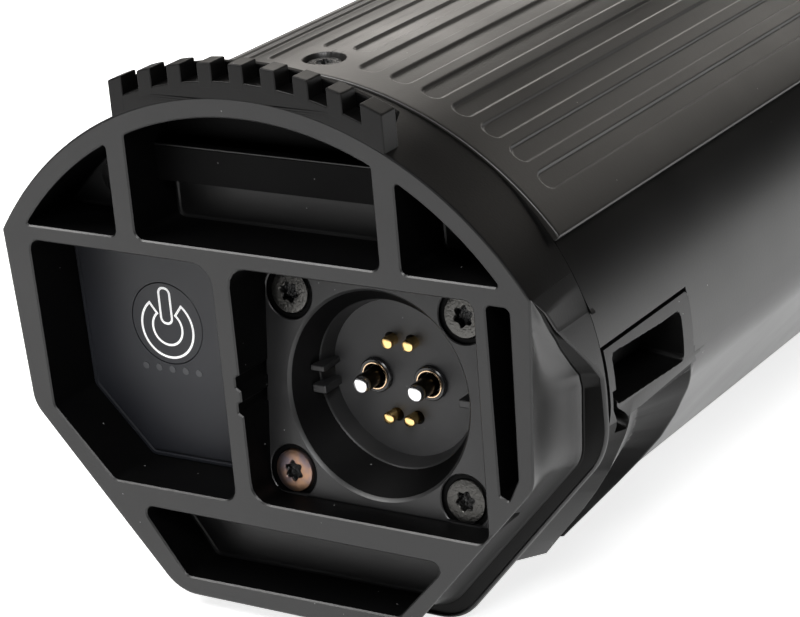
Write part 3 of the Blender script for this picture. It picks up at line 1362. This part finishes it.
    def rise(self, way: np.ndarray, y: np.ndarray) -> np.ndarray:
        """Rise over the body at each place.

        A straight ramp leads from the front edge up to the crest. From the crest to the rear rim runs a
        bowl: the chord between both, less a depth that grows evenly up to a crease and shrinks behind it.
        The frame lies level with the body, and the pocket and its notch are cut into it.
        """
        crest_y, crest_h, rim_y, rim_h = self.lines(way)
        front = np.interp(way, *np.array(self.front_rise).T)
        ramp = front + (crest_h - front) * np.clip((y - self.front) / (crest_y - self.front), 0.0, 1.0)
        share = np.clip((y - crest_y) / (rim_y - crest_y), 0.0, 1.0)
        lean = self.bar_lean * (y - self.bar_lean_from)
        depth = np.interp(way - lean, *np.array(self.bowl).T)
        crease = (np.interp(way, *np.array(self.crease).T) - crest_y) / (rim_y - crest_y)
        fall = np.where(share < crease, share / crease, (1.0 - share) / (1.0 - crease))
        bowl = crest_h + (rim_h - crest_h) * share - depth * fall
        level = np.where(y < crest_y, ramp, bowl)
        level = level + (self.flush - level) * np.clip((y - rim_y) / self.fade, 0.0, 1.0)
        bar_top = self.bar_top + lean
        pocket = self.box(way - lean, y, (self.pocket_top, self.pocket_y[0]),
                          (self.bar_top, self.pocket_y[1]), self.pocket_r)
        first, _ = self.guides(way)
        part = (y - self.front) / (first - self.front)
        edge = np.minimum(self.notch_shares[1] - part, part - self.notch_shares[0]) * (first - self.front)
        low = self.notch_low - way
        notch = eased(np.minimum(edge, way - bar_top + self.notch_reach) / self.wall + 0.5) * eased(low + 0.5)
        hole = np.maximum(pocket, notch)
        level = level * (1.0 - hole) - self.pocket_depth * hole
        frame_end = self.rear + (self.skirt - self.rear) * eased((way - self.bar_top + 0.4) / 0.2)
        inside = self.box(way, y, (self.top, self.front - 9.0), (2.0 * self.end, frame_end), self.corner_r)
        inside = inside * eased((self.end - way) / 0.5 + 0.5)
        return level * inside - self.under * (1.0 - inside)

    def guides(self, way: np.ndarray) -> tuple[np.ndarray, np.ndarray]:
        """Lines that the columns follow: the pocket's sides above, and the crest and the rim below."""
        crest_y, _, rim_y, _ = self.lines(way)
        turn = eased((way - 10.5) / 3.5)
        first = self.pocket_y[0] + (crest_y - self.pocket_y[0]) * turn
        return first, self.pocket_y[1] + (rim_y - self.pocket_y[1]) * turn

    def places(self) -> tuple[np.ndarray, np.ndarray]:
        """Rows and columns of places, where columns follow the pocket above and the crest and rim below."""
        way = np.concatenate([
            np.linspace(self.top - 0.25, self.top + 0.25, 7),
            np.linspace(self.top + 0.5, self.pocket_top - 0.3, 3),
            np.linspace(self.pocket_top - 0.15, self.pocket_top + 0.4, 8), np.arange(4.0, 10.2, 0.35),
            np.arange(10.3, 16.4, 0.1), np.arange(16.6, self.end - 0.4, 0.3),
            np.linspace(self.end - 0.3, self.end + 0.5, 9),
        ])
        near, last = np.array(self.near_shares), np.array(self.last_shares)
        far = np.concatenate([[0.0, 0.004, 0.008, 0.013, 0.02, 0.03, 0.045], np.linspace(0.06, 0.94, 42),
                              [0.955, 0.97, 0.98, 0.987, 0.992, 0.996]])
        first, second = self.guides(way)
        third = np.maximum(self.rear + (self.skirt - self.rear) * (way > self.bar_top + 0.8), second) + 0.3
        columns = [
            self.front + (first - self.front)[:, None] * near,
            first[:, None] + (second - first)[:, None] * far,
            second[:, None] + (third - second)[:, None] * last,
        ]
        y = np.concatenate(columns, axis=1)
        return np.broadcast_to(way[:, None], y.shape), y

    def build(self) -> None:
        """Build the right grip and its mirror image as closed pieces."""
        way, y = self.places()
        skin = self.on_flank(way, y, self.rise(way, y))
        back = self.on_flank(way, y, np.full_like(y, -self.back))
        crest_y, _, rim_y, _ = self.lines(way)
        crease = np.interp(way, *np.array(self.crease).T)
        below = way > self.bar_top + self.bar_width + 0.2
        finish = np.where(below & (y > crease) & (y < rim_y - 0.3), GripFace.BOWL, GripFace.FRAME)
        finish = np.where((way > self.bar_top) & (y > rim_y + 0.5), GripFace.SKIRT, finish)
        finish = np.where(below & (y < crest_y - 0.1), GripFace.RAMP, finish)
        finish = np.where(below & (np.abs(y - crest_y - 0.1) < 0.16), GripFace.CREST, finish)
        for side, name in ((1.0, "right"), (-1.0, "left")):
            turn = np.array([side, 1.0, 1.0])
            shell = Shell(f"grip_{name}")
            shell.grid(skin * turn, finish=finish[:-1, :-1].ravel())
            shell.grid(back * turn)
            for line in (0, -1):
                shell.grid(np.stack([skin[line], back[line]]) * turn)
                shell.grid(np.stack([skin[:, line], back[:, line]]) * turn)
            shell.finished([GRIP_PLASTIC, SHADED_GRIP, SHELL_PLASTIC, EDGE_PLASTIC, COLLAR_PLASTIC],
                           stands_for=(f"side_grip_{name}",))


# Display


@dataclass
class Display:
    """Display panel with its film, the power button with its sign, and the status lenses."""

    corners: tuple = ((-40.0, -1.3), (-7.6, -1.45), (-7.6, -37.6), (-29.55, -37.7), (-39.3, -27.5))
    radii: tuple = (1.6, 3.2, 1.9, 1.6, 1.6)
    front: float = 9.65
    thickness: float = 1.4
    lip: float = 0.5
    groove: float = 0.45
    groove_depth: float = 0.3
    button_at: tuple[float, float] = (-23.9, -15.7)
    button_r: float = 6.4
    gap: float = 0.1
    lens_at: tuple[float, float] = (-23.9, -22.9)
    lens_r: float = 0.5
    lens_pitch: float = 2.45
    lens_count: int = 5
    dome_r: float = 3.0
    dome_y: tuple[float, float] = (11.32, 12.2)
    dome_keep: float = 0.3
    sign_ring: float = 3.7
    sign_line: float = 0.36
    sign_width: float = 2.0
    sign_gap: float = 38.0
    sign_rise: float = 0.02
    stroke_z: tuple[float, float] = (0.7, 6.3)

    def dome(self) -> None:
        """Build the rubber dome behind the button, which flattens when the button is pressed."""
        low, high = self.dome_y
        profile = ((self.dome_r, high), (self.dome_r, high - 0.2), (2.2, low + 0.25), (1.5, low + 0.05),
                   (1.35, low))
        rings = [at_depth(circle(self.button_at, radius, 48), y) for radius, y in profile]
        dome = Shell("rubber_dome")
        dome.tube(rings)
        dome.flat([rings[0]])
        dome.flat([rings[-1]])
        piece = dome.finished([DOME_RUBBER], stands_for=("button_dome",))
        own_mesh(piece)

    def sign_loops(self) -> list[tuple[np.ndarray, np.ndarray]]:
        """Contours of the power sign: an open ring and an upright stroke, each as a pair of outlines."""
        half = self.sign_width / 2.0
        centre = (self.button_at[0], self.button_at[1] - 0.7)
        outer = arc(centre, self.sign_ring + half, 90.0 + self.sign_gap, 450.0 - self.sign_gap, 60)
        inner = arc(centre, self.sign_ring - half, 450.0 - self.sign_gap, 90.0 + self.sign_gap, 60)
        ring = np.concatenate([outer, inner])
        x, z = centre
        low, high = (z + level for level in self.stroke_z)
        stroke = np.array([[x - half, low], [x + half, low], [x + half, high], [x - half, high]])
        stroke = rounded(stroke, np.full(4, half * 0.9), 6)
        loops = []
        for shape in (ring, stroke):
            loops.append((grown(shape, self.sign_line / 2.0), grown(shape, -self.sign_line / 2.0)))
        return loops

    def build(self) -> None:
        """Build the panel, the button, the sign and the lenses."""
        outline = rounded(np.array(self.corners), np.array(self.radii))
        button_hole = circle(self.button_at, self.button_r + self.gap)
        middle = (self.lens_count - 1) / 2.0
        lenses = [
            circle((self.lens_at[0] + (i - middle) * self.lens_pitch, self.lens_at[1]), self.lens_r, 16)
            for i in range(self.lens_count)
        ]
        panel = Shell("display_film")
        back = self.front + self.thickness
        steps = (
            (0.0, back), (0.0, self.front + 0.1), (-0.1, self.front), (-self.lip, self.front),
            (-self.lip - 0.1, self.front + self.groove_depth),
            (-self.lip - self.groove, self.front + self.groove_depth),
            (-self.lip - self.groove - 0.12, self.front),
        )
        rings = [at_depth(grown(outline, wide), deep) for wide, deep in steps]
        panel.tube(rings)
        for ring, depth in ((rings[-1], self.front), (rings[0], back)):
            panel.flat([ring] + [at_depth(loop, depth) for loop in [button_hole] + lenses])
        for loop in [button_hole] + lenses:
            panel.tube([at_depth(loop, self.front), at_depth(loop, back)])
        panel.finished([PANEL_FILM], stands_for=("display_panel",))
        button = Shell("button_film")
        rim = circle(self.button_at, self.button_r)
        inner = circle(self.button_at, self.button_r - 0.08)
        button.tube([at_depth(inner, self.front), at_depth(rim, self.front + 0.08), at_depth(rim, back)])
        button.flat([at_depth(inner, self.front)])
        button.flat([at_depth(rim, back)])
        button.finished([PANEL_FILM], body=Body.BUTTON, stands_for=("power_button",))
        sign = Shell("power_sign")
        high, low = self.front - self.sign_rise, self.front + self.sign_rise
        for outer, inner in self.sign_loops():
            for depth in (high, low):
                sign.flat([at_depth(outer, depth), at_depth(inner, depth)])
            for loop in (outer, inner):
                sign.tube([at_depth(loop, high), at_depth(loop, low)])
        sign.finished([SIGN_PRINT], body=Body.BUTTON)
        dress("status_lenses", LENS_PLASTIC)
        dress("display_board", BOARD_GREEN)
        self.dome()


# Connector


@dataclass
class Connector:
    """Leaning plate with its barrel, ledge, keys, screws, collars and pins."""

    axis: tuple[float, float] = (14.6, -20.6)
    plane_y: float = 6.75
    lean: float = 7.0
    left: float = -19.2
    right: float = 20.8
    low: float = -16.9
    high: float = 17.1
    plate_r: float = 3.0
    plate_t: float = 3.0
    edge: float = 0.3
    bore_r: float = 15.0
    rim_chamfer: float = 0.45
    ledge_y: float = 11.5
    recess_r: float = 12.85
    floor_y: float = 14.0
    barrel_end: float = 18.0
    barrel_wall: float = 1.9
    step_y: float = 14.3
    key_end: float = 14.2
    screw_u: tuple[float, float] = (-14.8, 14.3)
    screw_w: tuple[float, float] = (-13.35, 13.4)
    head_r: float = 3.2
    ring_r: float = 4.0
    ring_d: float = 0.55
    star_r: float = 1.35
    star_wave: float = 0.2
    star_depth: float = 1.2
    keys: tuple = ((-13.3, -11.0, 9.8, 0.9, 1.8), (-13.3, -11.0, 9.8, -2.5, -1.2),
                   (10.6, 13.2, 11.2, -1.9, -0.7))
    power_half: float = 4.6
    power_r: float = 1.35
    power_tip: float = 9.15
    signal_half_x: float = 1.75
    signal_shift: float = 0.4
    signal_half_z: float = 5.85
    signal_tip: float = 12.0
    power_tail: float = 24.0
    signal_tail: float = 21.0
    power_point: tuple = ((0.0, 0.0), (0.9, 0.02), (1.12, 0.12), (1.22, 0.35), (1.24, 0.7), (1.24, 0.85))
    signal_point: tuple = ((0.0, 0.0), (0.7, 0.02), (0.86, 0.12), (0.92, 0.35), (0.92, 0.8), (0.86, 0.85))
    collar_profiles: tuple = (
        ((1.4, 15.0), (1.85, 14.6), (1.85, 13.3)),
        ((1.85, 13.3), (1.92, 13.15), (2.05, 13.15), (2.12, 13.25)),
        ((2.12, 13.25), (2.45, 13.2), (2.6, 13.35), (2.6, 15.0), (1.4, 15.0)),
    )

    def on_plate(self, u: np.ndarray, w: np.ndarray, sunk: float | np.ndarray = 0.0) -> np.ndarray:
        """Points of the leaning plate: u to the right, w up along the plate, sunk behind its front."""
        lean = math.radians(self.lean)
        x = self.axis[0] + u
        y = self.plane_y + w * math.sin(lean) + sunk * math.cos(lean)
        z = self.axis[1] + w * math.cos(lean) - sunk * math.sin(lean)
        return np.stack(np.broadcast_arrays(x, y, z), axis=-1)

    def bore_on_plane(self, radius: float, sunk: float = 0.0) -> np.ndarray:
        """Circle about the barrel's axis, cut by the plate's front plane or a plane behind it."""
        loop = circle(self.axis, radius)
        y = self.plane_y + (loop[:, 1] - self.axis[1]) * math.tan(math.radians(self.lean)) + sunk
        return np.stack([loop[:, 0], y, loop[:, 1]], axis=1)

    def plate(self) -> None:
        """Build the plate and barrel as one closed surface."""
        corners = np.array([[self.left, self.low], [self.right, self.low], [self.right, self.high],
                            [self.left, self.high]])
        outline = rounded(corners, np.full(4, self.plate_r), 8)
        shell = Shell("connector_plate")
        bend = 0.3 * self.edge
        steps = ((-self.edge, 0.0), (-bend, bend), (0.0, self.edge), (0.0, self.plate_t))
        edges = [self.on_plate(*grown(outline, wide).T, sunk) for wide, sunk in steps]
        shell.tube(edges)
        holes = [self.bore_on_plane(self.bore_r + self.rim_chamfer)]
        backs = []
        for u in self.screw_u:
            for w in self.screw_w:
                steps = ((self.ring_r + 0.15, 0.0), (self.ring_r, 0.15), (self.ring_r, self.ring_d),
                         (self.head_r + 0.12, self.ring_d), (self.head_r + 0.12, self.plate_t))
                circles = [self.on_plate(*circle((u, w), r, 48).T, sunk) for r, sunk in steps]
                shell.tube(circles[:2])
                shell.tube(circles[1:], finish=1)
                holes.append(circles[0])
                backs.append(circles[-1])
        shell.flat([edges[0]] + holes)
        outside = self.bore_r + self.barrel_wall
        barrel_out = self.bore_on_plane(outside, self.plate_t / math.cos(math.radians(self.lean)))
        shell.flat([edges[-1], barrel_out] + backs)
        narrow, wide = self.recess_r - 0.9, self.recess_r + 1.8
        profile = ((self.recess_r + 0.12, self.ledge_y - 0.1), (self.recess_r, self.ledge_y),
                   (self.recess_r - 0.1, self.ledge_y + 0.25), (narrow, self.floor_y + 0.1),
                   (narrow, self.barrel_end), (wide, self.barrel_end), (wide, self.step_y),
                   (outside, self.step_y))
        inside = [at_depth(circle(self.axis, r), y) for r, y in profile]
        rim = [holes[0], self.bore_on_plane(self.bore_r, self.rim_chamfer)]
        shell.tube(rim)
        shell.tube([rim[1], inside[0]], finish=1)
        shell.tube(inside + [barrel_out])
        shell.finished([SOCKET_PLASTIC, POCKET_PLASTIC], stands_for=("connector_housing",))
        keys = Shell("socket_keys")
        for x0, x1, y0, z0, z1 in self.keys:
            keys.block((self.axis[0] + x0, y0, self.axis[1] + z0),
                       (self.axis[0] + x1, self.key_end, self.axis[1] + z1))
        keys.finished([SOCKET_PLASTIC], bevel=0.2)

    def screws(self) -> None:
        """Build the four screws with their six-lobed recess, each turned its own way."""
        for column, u in enumerate(self.screw_u):
            for row, w in enumerate(self.screw_w):
                head = Shell(f"connector_screw_{column + 1}_{row + 1}")
                phase = 0.4 * (1 + column) + 0.9 * row
                lobes = star(SCREW_TURN + phase, self.star_r, self.star_wave)[:, None]
                way = np.stack([np.cos(SCREW_TURN), np.sin(SCREW_TURN)], axis=1)
                at = np.array([u, w])
                steps = ((self.head_r, 2.2), (self.head_r, 0.45), (self.head_r - 0.12, 0.2),
                         (self.head_r - 0.45, 0.1), (2.1, 0.02))
                rings = [self.on_plate(*(at + way * r).T, sunk) for r, sunk in steps]
                rings.append(self.on_plate(*(at + way * (lobes + 0.12)).T, 0.05))
                rings.append(self.on_plate(*(at + way * lobes).T, 0.2))
                deep = self.on_plate(*(at + way * lobes * 0.95).T, self.star_depth)
                head.tube(rings)
                head.tube([rings[-1], deep], finish=1)
                head.flat([deep], finish=1)
                head.flat([rings[0]])
                first = (column, row) == (0, 0)
                tint = TINTED_STEEL if first else DARK_STEEL
                names = ("connector_screws",) if first else ()
                head.finished([tint, DRIVE_STEEL], stands_for=names)

    def turned(self, shell: Shell, at: tuple[float, float], profile: list, finish: int = 0) -> None:
        """Turn a profile of radius and y about an axis along y.

        Args:
            shell: Surface that takes it.
            at: Place of the axis in x and z.
            profile: Pairs of radius and y, where a radius of 0 closes an end.
            finish: Place of the finish.
        """
        shell.tube([at_depth(circle(at, max(r, 0.001), 32), y) for r, y in profile], finish=finish)

    def pins(self) -> None:
        """Build the power pins with their collars, and the signal pins."""
        power = Shell("power_contacts")
        collars = Shell("power_collars")
        for side in (-1.0, 1.0):
            at = (self.axis[0] + side * self.power_half, self.axis[1])
            tip = self.power_tip
            self.turned(power, at, [(r, tip + y) for r, y in self.power_point])
            shaft = [(1.24, tip + 0.85), (self.power_r, tip + 0.9), (self.power_r, self.power_tail),
                     (0.0, self.power_tail)]
            self.turned(power, at, shaft, finish=1)
            for place, profile in enumerate(self.collar_profiles):
                self.turned(collars, at, profile, finish=place % 2)
        power.finished([PIN_STEEL, PIN_SHAFT], stands_for=("power_pins",))
        collars.finished([PIN_COLLAR, SLEEVE_BRASS], stands_for=("power_pin_sleeves",))
        signal = Shell("signal_contacts")
        for side, level in product((-1.0, 1.0), (-1.0, 1.0)):
            across = side * self.signal_half_x + level * self.signal_shift
            at = (self.axis[0] + across, self.axis[1] + level * self.signal_half_z)
            tip = [(r, self.signal_tip + y) for r, y in self.signal_point]
            self.turned(signal, at, tip + [(tip[-1][0], self.signal_tail), (0.0, self.signal_tail)])
        signal.finished([GOLD], stands_for=("signal_pins",))
        dress("contact_carrier", CARRIER_PLASTIC, bevel=0.1)

    def build(self) -> None:
        """Build the whole connector."""
        self.plate()
        self.screws()
        self.pins()


@dataclass
class Inside:
    """Parts that the covers hide, and plain outer parts whose CAD shape is right as it is."""

    finishes: dict = field(default_factory=lambda: {
        "lower_housing": SHELL_PLASTIC,
        "top_cover_seals": SEAL_RUBBER, "front_seal": SEAL_RUBBER,
        "end_cap_screws": DARK_STEEL, "power_leads": RED_LEAD, "signal_lead": RIBBON,
        "bms_board": BOARD_GREEN, "bms_components": CHIP_BLACK, "heat_spreader": SPREADER_ALU,
        "board_screws": PLAIN_STEEL, "main_fuse": FUSE_PLASTIC, "sense_harness": RIBBON,
        "cell_pads": PAD_FOAM, "rear_seal": SEAL_RUBBER, "rear_cap": CAP_PLASTIC,
        "rear_cap_screws": DARK_STEEL, "rear_bushes": BUSH_BRASS, "vent_plug": VENT_PLASTIC,
    })
    bevels: dict = field(default_factory=lambda: {"rear_cap": 0.3})
    layers: int = 5

    def build(self) -> None:
        """Dress each part."""
        for node, finish in self.finishes.items():
            dress(node, finish, self.bevels.get(node, 0.0))
        for layer in range(1, self.layers + 2):
            dress(f"cell_tray_{layer}", TRAY_PLASTIC)
            dress(f"nickel_plates_{layer}", NICKEL)
            if layer <= self.layers:
                dress(f"cells_{layer}", CELL_WRAP)


def main() -> None:
    logging.basicConfig(level=logging.INFO, format="%(name)s: %(message)s")
    Studio().build()
    for section in (EndCap(), ToothedRim(), TopCover(), SideGrip(), Display(), Connector(), Inside()):
        section.build()


if __name__ == "__main__":
    main()
